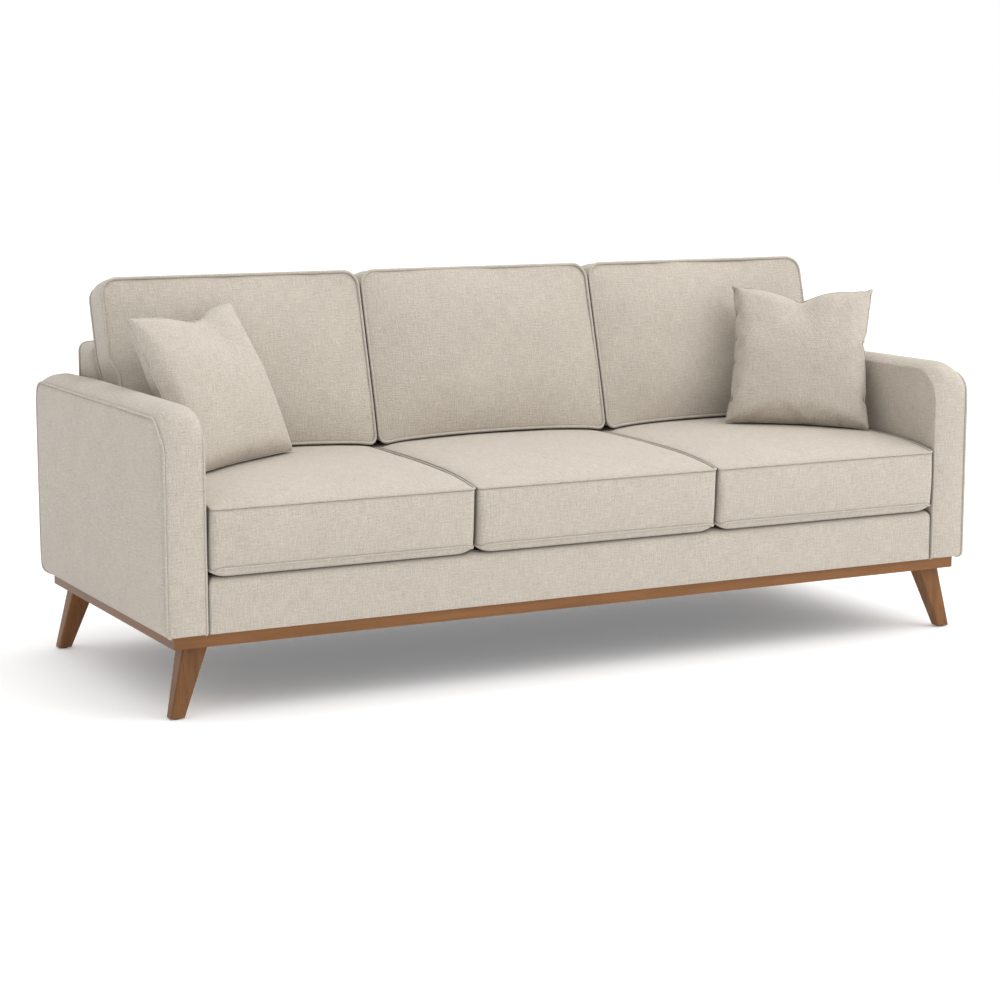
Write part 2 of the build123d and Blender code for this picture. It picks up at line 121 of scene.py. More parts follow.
# Arms: seams, corner radii, crowned strip and bulging outer panel
arm_inner_seam_z = 0.636
arm_outer_seam_z = 0.628
arm_outer_seam_x = 1.0215
arm_outer_seam_y = -0.419
arm_rear_gap = 0.006
arm_front_radius = 0.078
arm_outer_radius_drop = 0.010
arm_rear_radius = 0.018
arm_foot_radius = 0.028
arm_front_foot_radius = 0.004
arm_panel_crown = 0.0105
arm_panel_belly = 0.002
arm_plump_length = 0.016
arm_rear_plump_length = 0.007
arm_top_crown = 0.021
arm_end_crown = 0.005
arm_rear_crown_share = 0.68
arm_bottom_roll = 0.012
arm_bottom_inset = 0.010
arm_wave_depth = 0.0016
arm_wave_fade = 0.004
arm_seam_clearance = 0.0004

# Upholstered back: outline and the profile of its front face
frame_top_z = 0.717
frame_side_gap = 0.001
frame_top_corner = 0.022
frame_foot_corner = 0.003
frame_roll = 0.016
frame_rear_gap = 0.006
frame_rear_roll = 0.008
frame_rear_roll_depth = 0.004
frame_rear_bulge = 0.006
frame_top_bulge = 0.003
frame_profile_z = [0.0, 0.308, 0.312, 0.475, frame_top_z]
frame_profile_y = [0.292, 0.292, 0.248, 0.256, 0.3235]

# Apron, deck and dust cloth
apron_top_corner = 0.024
apron_foot_corner = 0.002
apron_end_margin = 0.012
apron_roll = 0.022
apron_bulge = 0.003
apron_wave_depth = 0.0008
slab_corner = 0.004
dust_sag = 0.006


# ---------------------------------------------------------------- mesh helpers
def smooth(x):
    """A smooth step from 0 at 0 to 1 at 1."""
    x = np.clip(x, 0, 1)
    return x * x * (3 - 2 * x)


def settle(distance, length):
    """Goes from 0 at an edge towards 1 over about `length`."""
    return 1 - np.exp(-np.maximum(distance, 0) / length)


def quarter_round(distance, radius):
    """Goes from 0 at an edge to 1 at `radius` along a quarter circle."""
    remaining = 1 - np.clip(distance / radius, 0, 1)
    return np.sqrt(1 - remaining**2)


def edge_dense(count):
    """`count` values from -1 to 1, closer together near both ends."""
    even = np.linspace(-1, 1, count)
    return 0.45 * even + 0.55 * np.sin(even * math.pi / 2)


def rounded(x, y, half_x, half_y, radius):
    """Moves the points of a full rectangle so that its corners follow quarter circles."""
    into_x = np.abs(x) - (half_x - radius)
    into_y = np.abs(y) - (half_y - radius)
    in_corner = (into_x > 0) & (into_y > 0)
    reach = np.maximum(into_x, into_y)
    distance = np.hypot(into_x, into_y) + 1e-12
    scale = np.where(in_corner, reach / distance, 1)
    new_x = np.where(in_corner, np.sign(x) * (half_x - radius + into_x * scale), x)
    new_y = np.where(in_corner, np.sign(y) * (half_y - radius + into_y * scale), y)
    return new_x, new_y


def boxed_surface(shape, across, along, rings):
    """A closed skin of two panels joined by a strip.

    shape(u, v, t) places points: u and v run from -1 to 1 over a panel, and t from -1 on the lower
    panel to 1 on the upper one. Returns the points, the faces and the two seam loops.
    """
    us, vs = edge_dense(across), edge_dense(along)
    u, v = np.meshgrid(us, vs, indexing="ij")
    rim = [(i, 0) for i in range(across - 1)]
    rim += [(across - 1, j) for j in range(along - 1)]
    rim += [(i, along - 1) for i in range(across - 1, 0, -1)]
    rim += [(0, j) for j in range(along - 1, 0, -1)]
    rim_u = np.array([us[i] for i, j in rim])
    rim_v = np.array([vs[j] for i, j in rim])
    size = across * along
    points = [shape(u.ravel(), v.ravel(), np.full(size, t)) for t in (-1.0, 1.0)]
    loops = [[i * along + j for i, j in rim]]
    for ring in range(1, rings):
        t = -1 + 2 * ring / rings
        points.append(shape(rim_u, rim_v, np.full(len(rim), t)))
        start = 2 * size + (ring - 1) * len(rim)
        loops.append(list(range(start, start + len(rim))))
    loops.append([size + i * along + j for i, j in rim])
    faces = []
    for i in range(across - 1):
        for j in range(along - 1):
            corner = i * along + j
            quad = [corner, corner + along, corner + along + 1, corner + 1]
            faces.append(quad[::-1])
            faces.append([size + index for index in quad])
    for low, high in zip(loops, loops[1:]):
        for k in range(len(rim)):
            following = (k + 1) % len(rim)
            faces.append([low[k], low[following], high[following], high[k]])
    points = np.concatenate(points)
    return points, faces, points[loops[0]], points[loops[-1]]


def evenly(loop, step):
    """The closed loop resampled to points about `step` apart."""
    closed = np.vstack([loop, loop[:1]])
    lengths = np.r_[0, np.cumsum(np.linalg.norm(np.diff(closed, axis=0), axis=1))]
    count = max(8, int(lengths[-1] / step))
    wanted = np.linspace(0, lengths[-1], count, endpoint=False)
    return np.stack([np.interp(wanted, lengths, closed[:, axis]) for axis in range(3)], axis=1)


def tube(loop, radius, sides=8, step=0.006):
    """A closed tube of `radius` round a closed loop: points and faces."""
    centres = evenly(loop, step)
    count = len(centres)
    ahead = np.roll(centres, -1, axis=0) - np.roll(centres, 1, axis=0)
    ahead /= np.linalg.norm(ahead, axis=1)[:, None]
    middle = centres.mean(axis=0)
    outward = centres - middle
    outward -= (outward * ahead).sum(axis=1)[:, None] * ahead
    outward /= np.linalg.norm(outward, axis=1)[:, None]
    upward = np.cross(ahead, outward)
    angles = np.linspace(0, 2 * math.pi, sides, endpoint=False)
    rings = [
        centres + radius * (math.cos(angle) * outward + math.sin(angle) * upward) for angle in angles
    ]
    points = np.stack(rings, axis=1).reshape(-1, 3)
    faces = []
    for k in range(count):
        here, following = k * sides, (k + 1) % count * sides
        for side in range(sides):
            right = (side + 1) % sides
            faces.append([here + side, here + right, following + right, following + side])
    return points, faces


def ripple(points, size, seed):
    """Smooth noise from -1 to 1 for each point, with bumps about `size` across."""
    shift = Vector((seed * 3.1, seed * 7.7, seed * 1.9))
    return np.array([noise.noise(Vector(point) / size + shift) for point in points])


def make_object(name, points, faces):
    """A smooth-shaded mesh object from points and faces."""
    mesh = bpy.data.meshes.new(name)
    mesh.from_pydata([tuple(point) for point in points], [], faces)
    mesh.validate()
    mesh.update()
    mesh.polygons.foreach_set("use_smooth", [True] * len(mesh.polygons))
    item = bpy.data.objects.new(name, mesh)
    bpy.context.scene.collection.objects.link(item)
    return item


def turn_outward(item):
    """Makes every closed shell's faces point outward."""
    bpy.context.view_layer.objects.active = item
    item.select_set(True)
    bpy.ops.object.mode_set(mode="EDIT")
    bpy.ops.mesh.select_all(action="SELECT")
    bpy.ops.mesh.normals_make_consistent(inside=False)
    bpy.ops.object.mode_set(mode="OBJECT")
    item.select_set(False)


def weave_coordinates(item):
    """Gives every face fabric coordinates in metres, laid along the two axes it faces least."""
    mesh = item.data
    layer = mesh.uv_layers.get("weave") or mesh.uv_layers.new(name="weave")
    points = np.array([vertex.co for vertex in mesh.vertices])
    coordinates = np.zeros((len(mesh.loops), 2))
    axes = {0: (1, 2), 1: (0, 2), 2: (0, 1)}
    for polygon in mesh.polygons:
        facing = int(np.argmax(np.abs(polygon.normal)))
        first, second = axes[facing]
        for loop_index in polygon.loop_indices:
            point = points[mesh.loops[loop_index].vertex_index]
            coordinates[loop_index] = point[first], point[second]
    layer.data.foreach_set("uv", coordinates.ravel())


def soft_piece(name, skin, seams=(), seam_radius=welt_radius, material=None):
    """One piece of cloth or upholstery: its skin plus a welt along each seam loop."""
    points, faces = skin
    all_points, all_faces, start = [points], list(faces), len(points)
    for loop in seams:
        tube_points, tube_faces = tube(loop, seam_radius)
        all_points.append(tube_points)
        all_faces += [[index + start for index in face] for face in tube_faces]
        start += len(tube_points)
    item = make_object(name, np.concatenate(all_points), all_faces)
    turn_outward(item)
    weave_coordinates(item)
    item.data.materials.append(material or upholstery)
    return item


# ---------------------------------------------------------------- materials
class Shader:
    """A node material that is built one node at a time."""

    def __init__(self, name):
        self.material = bpy.data.materials.new(name)
        self.material.use_nodes = True
        self.tree = self.material.node_tree
        self.surface = self.tree.nodes["Principled BSDF"]

    def add(self, kind, inputs=None, **settings):
        """Adds a node, sets its properties, and fills or links its inputs."""
        made = self.tree.nodes.new(kind)
        for key, value in settings.items():
            setattr(made, key, value)
        for key, value in (inputs or {}).items():
            self.feed(made.inputs[key], value)
        return made

    def feed(self, socket, value):
        """Links another node's output to the socket, or sets the socket to a plain value."""
        if isinstance(value, bpy.types.NodeSocket):
            self.tree.links.new(value, socket)
        else:
            socket.default_value = value

    def math(self, operation, first, second=0.0):
        """One arithmetic step on values or outputs."""
        return self.add("ShaderNodeMath", {0: first, 1: second}, operation=operation).outputs[0]

    def streaks(self, where, scale, detail=2.0):
        """Noise stretched by the scale along each axis, from about 0.3 to 0.7."""
        mapped = self.add("ShaderNodeMapping", {"Vector": where, "Scale": scale}).outputs[0]
        texture = self.add("ShaderNodeTexNoise", {"Vector": mapped, "Scale": 1.0, "Detail": detail})
        return texture.outputs["Fac"]

    def blend(self, share, first, second):
        """The first colour turning into the second as the share goes from 0 to 1."""
        mixed = self.add("ShaderNodeMix", data_type="RGBA")
        self.feed(mixed.inputs["Factor"], share)
        self.feed(mixed.inputs["A"], first)
        self.feed(mixed.inputs["B"], second)
        return mixed.outputs["Result"]

    def finish(self, colour, roughness, height, bump_distance, bump_strength=1.0):
        """Joins colour, roughness and bump to the surface."""
        self.feed(self.surface.inputs["Base Color"], colour)
        self.feed(self.surface.inputs["Roughness"], roughness)
        bump = self.add(
            "ShaderNodeBump", {"Height": height, "Distance": bump_distance, "Strength": bump_strength}
        )
        self.feed(self.surface.inputs["Normal"], bump.outputs[0])
        return self.material


def woven_fabric(name, colour, yarns_per_metre=430, contrast=0.18, sheen=0.2, laid=True):
    """Linen-look plain weave: crossing slub yarns, light and dark flecks, soft sheen, and painted shade in
    seams and narrow gaps.

    `laid` cloth follows the mesh's own weave coordinates; other cloth uses plain object ones.
    """
    shader = Shader(name)
    if laid:
        where = shader.add("ShaderNodeUVMap", uv_map="weave").outputs[0]
    else:
        where = shader.add("ShaderNodeTexCoord").outputs["Object"]
    slubs_per_metre, flecks_per_metre, clouds_per_metre = yarns_per_metre * 0.08, yarns_per_metre * 0.8, 11
    yarn_share, fleck_share, cloud_share = 0.8, 1.3, 0.2
    middle_tone, tone_strength = 1.55, 1.5
    # Painted shade in seams and narrow gaps: its reach, its darkness and how sharply it falls off.
    painted_shade_reach, painted_shade_darkness, painted_shade_sharpness = 0.009, 0.45, 1.2

    # Tone: weft and warp yarns, flecks in them, and broad clouds.
    weft = shader.streaks(where, (slubs_per_metre, yarns_per_metre, 1))
    warp = shader.streaks(where, (yarns_per_metre, slubs_per_metre, 1))
    fleck = shader.streaks(where, (flecks_per_metre, flecks_per_metre, 1), 3.0)
    cloud = shader.streaks(where, (clouds_per_metre, clouds_per_metre, 1))
    yarns = shader.math("ADD", weft, warp)
    yarn_tone = shader.math("MULTIPLY", yarns, yarn_share)
    fleck_tone = shader.math("MULTIPLY", fleck, fleck_share)
    tone = shader.math("ADD", yarn_tone, fleck_tone)
    tone = shader.math("ADD", tone, shader.math("MULTIPLY", cloud, cloud_share))
    tone = shader.math("SUBTRACT", tone, middle_tone)
    level = shader.math("ADD", shader.math("MULTIPLY", tone, tone_strength), 0.5)
    light = tuple(min(1, channel * (1 + contrast)) for channel in colour) + (1,)
    dark = tuple(channel * (1 - contrast) for channel in colour) + (1,)
    mixed = shader.blend(level, dark, light)

    # Painted shade: an ambient-occlusion mask darkens seams and other narrow gaps.
    painted_shade_mask = shader.add("ShaderNodeAmbientOcclusion", {"Distance": painted_shade_reach}, samples=8).outputs["AO"]
    painted_shade_colour = tuple(channel * painted_shade_darkness for channel in colour) + (1,)
    mixed = shader.blend(shader.math("POWER", painted_shade_mask, painted_shade_sharpness), painted_shade_colour, mixed)
    shader.surface.inputs["Sheen Weight"].default_value = sheen
    shader.surface.inputs["Sheen Roughness"].default_value = 0.45
    shader.surface.inputs["Specular IOR Level"].default_value = 0.15
    rough = shader.math("ADD", shader.math("MULTIPLY", weft, 0.1), 0.85)
    height = shader.math("ADD", yarns, fleck)
    return shader.finish(mixed, rough, height, bump_distance=0.0012, bump_strength=0.7)


def stained_wood(name, light, dark, grain_axis, roughness=0.42):
    """Satin wood with long grain, pores and lighter convex edges."""
    shader = Shader(name)
    where = shader.add("ShaderNodeTexCoord").outputs["Object"]
    across, along = 75.0, 3.2
    pores_across, pores_along = across * 7, along * 5
    pore_level, pore_depth, pore_darkness = 0.62, 0.28, 0.55
    # Convex edges are lighter: where it starts and ends on the pointiness scale, how much, and how light.
    pale_edge_from, pale_edge_to, pale_edge_share, pale_edge_lightness = 0.52, 0.6, 0.25, 1.5
    scale = tuple(along if axis == grain_axis else across for axis in range(3))
    fine_scale = tuple(pores_along if axis == grain_axis else pores_across for axis in range(3))
    broad = shader.streaks(where, scale, 3.0)
    pores = shader.streaks(where, fine_scale, 1.0)
    patch = shader.streaks(where, (7, 7, 7))
    level = shader.math("ADD", shader.math("MULTIPLY", broad, 1.3), shader.math("MULTIPLY", patch, 0.7))
    level = shader.math("SUBTRACT", level, 0.5)
    colour = shader.blend(level, (*dark, 1), (*light, 1))
    pore_share = shader.math("MULTIPLY", shader.math("GREATER_THAN", pores, pore_level), pore_depth)
    colour = shader.blend(pore_share, colour, tuple(channel * pore_darkness for channel in dark) + (1,))
    # Convex edges, found by pointiness, are made lighter.
    edge = shader.add("ShaderNodeNewGeometry").outputs["Pointiness"]
    pale_edge = shader.add(
        "ShaderNodeMapRange",
        {"Value": edge, "From Min": pale_edge_from, "From Max": pale_edge_to, "To Max": pale_edge_share},
    ).outputs[0]
    pale_edge_colour = tuple(min(1, channel * pale_edge_lightness) for channel in light) + (1,)
    colour = shader.blend(pale_edge, colour, pale_edge_colour)
    rough = shader.math("ADD", shader.math("MULTIPLY", broad, 0.18), roughness - 0.09)
    shader.surface.inputs["Specular IOR Level"].default_value = 0.3
    shader.surface.inputs["Coat Weight"].default_value = 0.05
    shader.surface.inputs["Coat Roughness"].default_value = 0.3
    height = shader.math("ADD", broad, pores)
    return shader.finish(colour, rough, height, bump_distance=0.0004, bump_strength=0.35)


def brushed_metal(name, colour, roughness):
    """Plain steel with fine drawn lines."""
    shader = Shader(name)
    where = shader.add("ShaderNodeTexCoord").outputs["Object"]
    lines_across, lines_along = 900, 60
    lines = shader.streaks(where, (lines_across, lines_along, lines_across))
    shader.surface.inputs["Metallic"].default_value = 1.0
    mixed = shader.blend(lines, tuple(channel * 0.8 for channel in colour) + (1,), (*colour, 1))
    rough = shader.math("ADD", shader.math("MULTIPLY", lines, 0.2), roughness - 0.1)
    return shader.finish(mixed, rough, lines, bump_distance=0.0001, bump_strength=0.3)


def moulded_plastic(name, colour):
    """Matte plastic with a fine moulded grain."""
    shader = Shader(name)
    where = shader.add("ShaderNodeTexCoord").outputs["Object"]
    grains_per_metre = 1400
    grain = shader.streaks(where, (grains_per_metre, grains_per_metre, grains_per_metre))
    mixed = shader.blend(grain, tuple(channel * 0.8 for channel in colour) + (1,), (*colour, 1))
    rough = shader.math("ADD", shader.math("MULTIPLY", grain, 0.2), 0.45)
    return shader.finish(mixed, rough, grain, bump_distance=0.0001, bump_strength=0.3)


greige = (0.507, 0.4565, 0.392)
upholstery = woven_fabric("upholstery_fabric", greige)
deck_cloth = woven_fabric("deck_cloth", (0.42, 0.38, 0.33), 800, contrast=0.2, sheen=0.1)
dust_cloth = woven_fabric("dust_cloth", (0.012, 0.012, 0.013), 1200, contrast=0.3, sheen=0.0)
wood_light, wood_dark = (0.255, 0.108, 0.031), (0.118, 0.046, 0.012)
wood_along = [
    stained_wood(f"stained_wood_{axis_name}", wood_light, wood_dark, axis)
    for axis, axis_name in enumerate("xyz")
]
timber_light, timber_dark = (0.62, 0.45, 0.27), (0.45, 0.31, 0.17)
timber = stained_wood("frame_timber", timber_light, timber_dark, grain_axis=0, roughness=0.7)
board_light, board_dark = (0.30, 0.20, 0.11), (0.22, 0.14, 0.08)
board = stained_wood("hardboard", board_light, board_dark, grain_axis=1, roughness=0.75)
steel = brushed_metal("zinc_steel", (0.62, 0.63, 0.64), 0.35)
spring_wire = brushed_metal("spring_wire", (0.30, 0.30, 0.31), 0.4)
glide_plastic = moulded_plastic("glide_plastic", (0.03, 0.028, 0.026))
webbing = woven_fabric("webbing", (0.09, 0.08, 0.07), 900, contrast=0.35, sheen=0.1, laid=False)


def paint(material, *names):
    """Gives CAD nodes this material and changes nothing else about them."""
    for name in names:
        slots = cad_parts[name].data.materials
        if not slots:
            slots.append(material)
        for index in range(len(slots)):
            slots[index] = material


paint(wood_along[0], "plinth_front_board", "plinth_rear_board")
paint(wood_along[1], "plinth_left_board", "plinth_right_board")
paint(wood_along[2], "front_left_leg", "front_right_leg", "rear_left_leg", "rear_right_leg")
paint(
    timber,
    "leg_blocks",
    "seat_front_rail",
    "seat_rear_rail",
    "seat_left_rail",
    "seat_right_rail",
    "seat_cross_rails",
    "seat_corner_blocks",
    "back_top_rail",
    "back_lower_rails",
    "back_uprights",
)
for side_name in ("left", "right"):
    paint(timber, *(f"{side_name}_arm_{part}" for part in ("front_post", "rear_post", "top_rail")))
    paint(board, f"{side_name}_arm_panels")
paint(steel, "leg_tee_nuts", "leg_bolts", "spring_clips")
paint(spring_wire, "seat_springs")
paint(glide_plastic, "leg_glides")
paint(webbing, "back_webbing")


def set_piece(item, body, nodes):
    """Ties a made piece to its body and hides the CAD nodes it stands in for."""
    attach(item, body)
    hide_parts(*nodes)


# ---------------------------------------------------------------- seat cushions
seat_half_width = cushion_half_width - seat_gap
seat_half_depth = (seat_high.y - seat_front_seam_y) / 2
seat_middle_y = seat_front_seam_y + seat_half_depth


def seat_top(x, y):
    """Height of a seat cushion's top panel, with x from the cushion's own middle."""
    from_front = y - seat_front_seam_y
    from_side = seat_half_width - np.abs(x)
    from_back = seat_high.y - y
    rise = seat_side_rise * settle(from_front, seat_rise_length)
    shoulder = seat_shoulder * settle(from_side, seat_shoulder_length) * settle(from_front, seat_edge_length)
    share = np.clip(np.abs(x) / seat_half_width, 0, 1)
    swell = seat_crown * (1 - share**2.4) * settle(from_front, seat_crown_length)
    return seat_seam_z + rise + (shoulder + swell) * settle(from_back, seat_edge_length)


def seat_bottom(x, y):
    """Height of its bottom panel, which hangs a little over the apron at the front."""
    from_side = seat_half_width - np.abs(x)
    from_front = y - seat_front_seam_y
    from_end = np.minimum(from_front, seat_high.y - y)
    belly = quarter_round(from_side, seat_side_roll) * quarter_round(from_end, seat_roll)
    sag = np.exp(-(((from_front - seat_sag_place) / seat_sag_width) ** 2))
    sag = sag * quarter_round(from_side, seat_edge_length)
    return seat_lower_seam_z - (seat_lower_seam_z - seat_low.z) * belly - seat_front_sag * sag * belly


def seat_cushion_shape(outer_side):
    """A crowned box cushion: pointed corners at the top seam, rounder ones below.

    Next to an arm, on its outer side (-1, 0 or 1), its top seam draws in a little.
    """

    def shape(u, v, t):
        upper = (t + 1) / 2
        radius = seat_lower_corner - seat_corner_taper * upper - seat_ear_taper * upper**4
        x, y = rounded(u * seat_half_width, v * seat_half_depth, seat_half_width, seat_half_depth, radius)
        side = 1 - t * t
        near_side = np.abs(u) ** 8
        waist = seat_waist * (1 - v * v) * near_side
        by_arm = seat_arm_gap * near_side * (u * outer_side > 0)
        x = x - np.sign(u) * np.maximum(waist, by_arm) * upper**3
        y = y + seat_middle_y
        top, bottom = seat_top(x, y), seat_bottom(x, y)
        at_front = smooth((-v - 0.9) * 10)
        y = y - seat_front_bulge * side * at_front * (1 - 0.5 * np.abs(u) ** 6)
        return np.stack([x, y, bottom + (top - bottom) * upper], axis=1)

    return shape


def make_seat_cushion(side_name, side):
    """One seat cushion, with shallow waves and creases pressed into its top panel."""
    shape = seat_cushion_shape(side)
    points, faces, lower, upper = boxed_surface(shape, across=90, along=96, rings=14)
    waves, creases = ripple(points, 0.16, side + 2), ripple(points, 0.05, side + 5)
    soft = (waves - 1) * seat_wave_depth + (creases - 1) * seat_crease_depth
    points[:, 2] += soft * settle(points[:, 2] - seat_seam_z, seat_wave_fade)
    middle = np.array([side * cushion_pitch, 0, 0])
    seams = [lower + middle, upper + middle]
    item = soft_piece(f"seat_cushion_{side_name}", (points + middle, faces), seams, welt_radius)
    nodes = [f"seat_cushion_{side_name}_cover", f"seat_cushion_{side_name}_core"]
    set_piece(item, f"seat_cushion_{side_name}", nodes)


# ---------------------------------------------------------------- back cushions
back_height = cushion_high.z - back_top_gap - cushion_low.z
back_half_width = cushion_half_width - back_gap


def back_cushion_shape(outer_side):
    """A leaning box cushion, wider above the arm on its outer side (-1, 0 or 1)."""

    def shape(u, v, t):
        half_z = back_height / 2
        radius = np.where(v > 0, back_top_corner, back_bottom_corner)
        x, z = rounded(u * back_half_width, v * half_z, back_half_width, half_z, radius)
        side = 1 - t * t
        rear = (1 - t) / 2
        height = z + half_z
        over_arm = back_over_arm * smooth((height - back_arm_height) / back_arm_blend)
        over_arm = over_arm * (1 - back_rear_narrowing * rear)
        x = x + outer_side * over_arm * np.clip(u * outer_side, 0, 1) ** 2
        x = x + np.sign(u) * back_side_bulge * side * np.abs(u) ** 8
        y = back_foot_y + back_lean * height + back_boxing * rear
        swell = (1 - np.abs(u) ** 3) * (1 - np.abs(v) ** 2.6)
        y = y - back_front_crown * swell * (t == 1) + back_rear_crown * swell * (t == -1)
        drop = back_top_drop * rear * height / back_height

        # The foot of the cushion follows the crowned seat cushion that it stands on.
        follow = np.clip(1 - height / back_follow_height, 0, 1) ** 2
        seat_z = seat_top(x, np.clip(y, 0, back_furthest_rest_y))
        rest = seat_z + piping_radius + back_rest_gap - cushion_low.z
        top_bulge = back_top_bulge * side * smooth((v - 0.8) * 5)
        z = cushion_low.z + height - drop + rest * follow + top_bulge
        return np.stack([x, y, z], axis=1)

    return shape


def make_back_cushion(side_name, side):
    """One back cushion, with waves and creases in its faces."""
    shape = back_cushion_shape(side)
    points, faces, rear, front = boxed_surface(shape, across=90, along=70, rings=12)
    waves, creases = ripple(points, 0.15, side + 12), ripple(points, 0.05, side + 15)
    soft = waves * back_wave_depth + creases * back_crease_depth
    points[:, 1] += soft * settle(points[:, 2] - cushion_low.z, back_wave_fade)
    middle = np.array([side * cushion_pitch, 0, 0])
    seams = [rear + middle, front + middle]
    item = soft_piece(f"back_cushion_{side_name}", (points + middle, faces), seams, piping_radius)
    nodes = [f"back_cushion_{side_name}_cover", f"back_cushion_{side_name}_filling"]
    set_piece(item, f"back_cushion_{side_name}", nodes)


for side_name, side in (("left", -1), ("centre", 0), ("right", 1)):
    make_seat_cushion(side_name, side)
    make_back_cushion(side_name, side)


# ---------------------------------------------------------------- arms
def outline_facing(y, z, half_depth, half_height, radius):
    """Which way an arm's rounded outline faces at each point, as its end and upward shares."""
    into_y = np.clip(np.abs(y) - (half_depth - radius), 0, None)
    into_z = np.clip(np.abs(z) - (half_height - radius), 0, None)
    reach = np.hypot(into_y, into_z) + 1e-9
    return np.sign(y) * into_y / reach, np.sign(z) * into_z / reach


def arm_shape(u, v, t):
    """A padded slab arm: a crowned strip over the top, and an outer panel that bulges."""
    outer = (t + 1) / 2
    seam_top = arm_inner_seam_z + (arm_outer_seam_z - arm_inner_seam_z) * outer
    seam_front = arm_low.y + (arm_outer_seam_y - arm_low.y) * outer
    half_depth = (arm_high.y - arm_rear_gap - seam_front) / 2
    half_height = (seam_top - arm_low.z) / 2
    upper_radius = np.where(u < 0, arm_front_radius - arm_outer_radius_drop * outer, arm_rear_radius)
    lower_radius = np.where(u < 0, arm_front_foot_radius, arm_foot_radius)
    radius = np.where(v > 0, upper_radius, lower_radius)
    flat_y, flat_z = u * half_depth, v * half_height
    faces_end, faces_up = outline_facing(flat_y, flat_z, half_depth, half_height, radius)
    y, z = rounded(flat_y, flat_z, half_depth, half_height, radius)

    # The outer panel swells away from its seams, and is already partly swollen at the rear one.
    from_bottom, from_top = z + half_height, half_height - z
    from_end = half_depth - np.abs(y) + np.where(u > 0, arm_rear_gap, 0)
    swell = settle(from_end, np.where(u < 0, arm_plump_length, arm_rear_plump_length))
    swell = swell * settle(from_top, arm_plump_length) * settle(from_bottom, arm_plump_length)
    belly = (1 - u * u) * (1 - v * v)
    x = arm_low.x + (arm_outer_seam_x - arm_low.x) * outer
    x = x + (arm_panel_crown * swell + arm_panel_belly * belly) * np.clip(t, 0, 1) ** 6
    x = x - arm_bottom_inset * outer * (1 - quarter_round(from_bottom, arm_bottom_roll))

    # The strip between the seams crowns outward, square to the outline.
    upward = np.clip(faces_up, 0, 1)
    crown = arm_end_crown + (arm_top_crown - arm_end_crown) * smooth(upward)
    crown = crown * (1 - (1 - arm_rear_crown_share) * smooth((u - 0.4) / 0.6))
    crown = crown * (1 - np.abs(t) ** 2.5)
    y = y + crown * faces_end + seam_front + half_depth
    z = z + crown * upward + arm_low.z + half_height
    return np.stack([x, y, z], axis=1)


for side_name, side in (("left", -1), ("right", 1)):
    points, faces, inner, outer = boxed_surface(arm_shape, across=120, along=80, rings=16)
    past_seam = settle(points[:, 0] - arm_outer_seam_x, arm_wave_fade)
    points[:, 0] += ripple(points, 0.18, side + 22) * arm_wave_depth * past_seam
    mirror = np.array([side, 1, 1])
    inner[:, 0] += arm_seam_radius + arm_seam_clearance
    seams = [inner * mirror, outer * mirror]
    item = soft_piece(f"{side_name}_arm", (points * mirror, faces), seams, arm_seam_radius)
    nodes = [f"{side_name}_arm_cover", f"{side_name}_arm_padding"]
    set_piece(item, "sofa_base", nodes)


# ---------------------------------------------------------------- back, apron, deck and dust cloth
def back_shape(u, v, t):
    """The upholstered back: leaning front, upright rear, rounded top."""
    half_x, half_z = back_high.x - frame_side_gap, (frame_top_z - back_low.z) / 2
    radius = np.where(v > 0, frame_top_corner, frame_foot_corner)
    x, z = rounded(u * half_x, v * half_z, half_x, half_z, radius)
    from_edge = np.minimum(half_x - np.abs(x), half_z - z)
    z = z + half_z + back_low.z
    front = (t + 1) / 2
    face_y = np.interp(z, frame_profile_z, frame_profile_y)
    face_y = face_y + frame_roll * (1 - quarter_round(from_edge, frame_roll))
    rear_roll = frame_rear_roll_depth * (1 - quarter_round(from_edge, frame_rear_roll))
    rear_y = back_high.y - frame_rear_gap - rear_roll
    y = rear_y + (face_y - rear_y) * front
    y = y + frame_rear_bulge * (1 - u**6) * (1 - v**4) * (t == -1)
    z = z + frame_top_bulge * (1 - t * t) * smooth((v - 0.9) * 10)
    return np.stack([x, y, z], axis=1)


def apron_shape(u, v, t):
    """The soft front edge below the cushions, rounded over the top and at its upper ends."""
    half_x, half_z = apron_high.x, (apron_high.z - apron_low.z) / 2
    radius = np.where(v > 0, apron_top_corner, apron_foot_corner)
    x, z = rounded(u * half_x, v * half_z, half_x, half_z, radius)
    front = (t + 1) / 2
    y = apron_high.y + (apron_low.y - apron_high.y) * front
    from_top = np.minimum(half_z - z, half_x - np.abs(x) + apron_end_margin)
    y = y + apron_roll * (1 - quarter_round(from_top, apron_roll)) * front
    y = y - apron_bulge * (1 - v**4) * (1 - u**20) * (t == 1)
    return np.stack([x, y, z + half_z + apron_low.z], axis=1)


def slab_shape(low, high, sag=0.0):
    """A flat slab between two corners, sagging by `sag` in its middle."""
    middle, half = (low + high) / 2, (high - low) / 2

    def shape(u, v, t):
        x, y = rounded(u * half.x, v * half.y, half.x, half.y, slab_corner)
        z = middle.z + t * half.z - sag * (1 - u**4) * (1 - v**2)
        return np.stack([x + middle.x, y + middle.y, z], axis=1)

    return shape


points, faces, rear, _ = boxed_surface(back_shape, across=160, along=60, rings=10)
back_item = soft_piece("back", (points, faces), [rear], arm_seam_radius)
set_piece(back_item, "sofa_base", ["back_cover", "back_padding"])

points, faces, _, _ = boxed_surface(apron_shape, across=160, along=36, rings=8)
points[:, 1] += ripple(points, 0.12, 31) * apron_wave_depth * (points[:, 1] < apron_high.y)
apron_item = soft_piece("apron", (points, faces))
set_piece(apron_item, "sofa_base", ["apron_cover", "apron_padding"])

